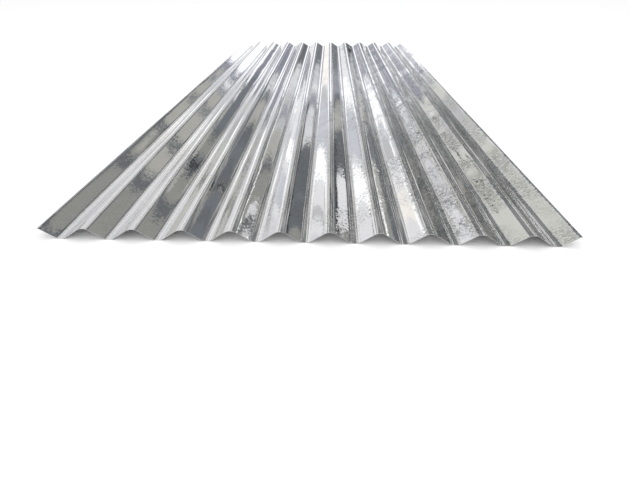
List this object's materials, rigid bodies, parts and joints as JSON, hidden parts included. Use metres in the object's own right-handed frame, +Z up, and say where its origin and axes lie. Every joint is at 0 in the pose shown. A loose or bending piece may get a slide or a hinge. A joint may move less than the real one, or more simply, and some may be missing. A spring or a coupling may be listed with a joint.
{
  "type": "corrugated metal sheet",
  "caption": "Rectangular sheet of thin galvanised steel with even round corrugations along its whole length, for roofs, walls and fences.",
  "frame": {"origin": "under the middle of the sheet, in its middle trough, on the plane that the troughs rest on", "axes": "+X across the corrugations, +Y along them, +Z up from the troughs to the crests"},
  "size_m": [0.826, 2, 0.019],
  "materials": {
    "galvanised_steel": "bright hot-dip zinc with a fine spangle, on steel strip"
  },
  "bodies": {
    "root": {"corrugated_sheet": "galvanised_steel"}
  },
  "joints": []
}
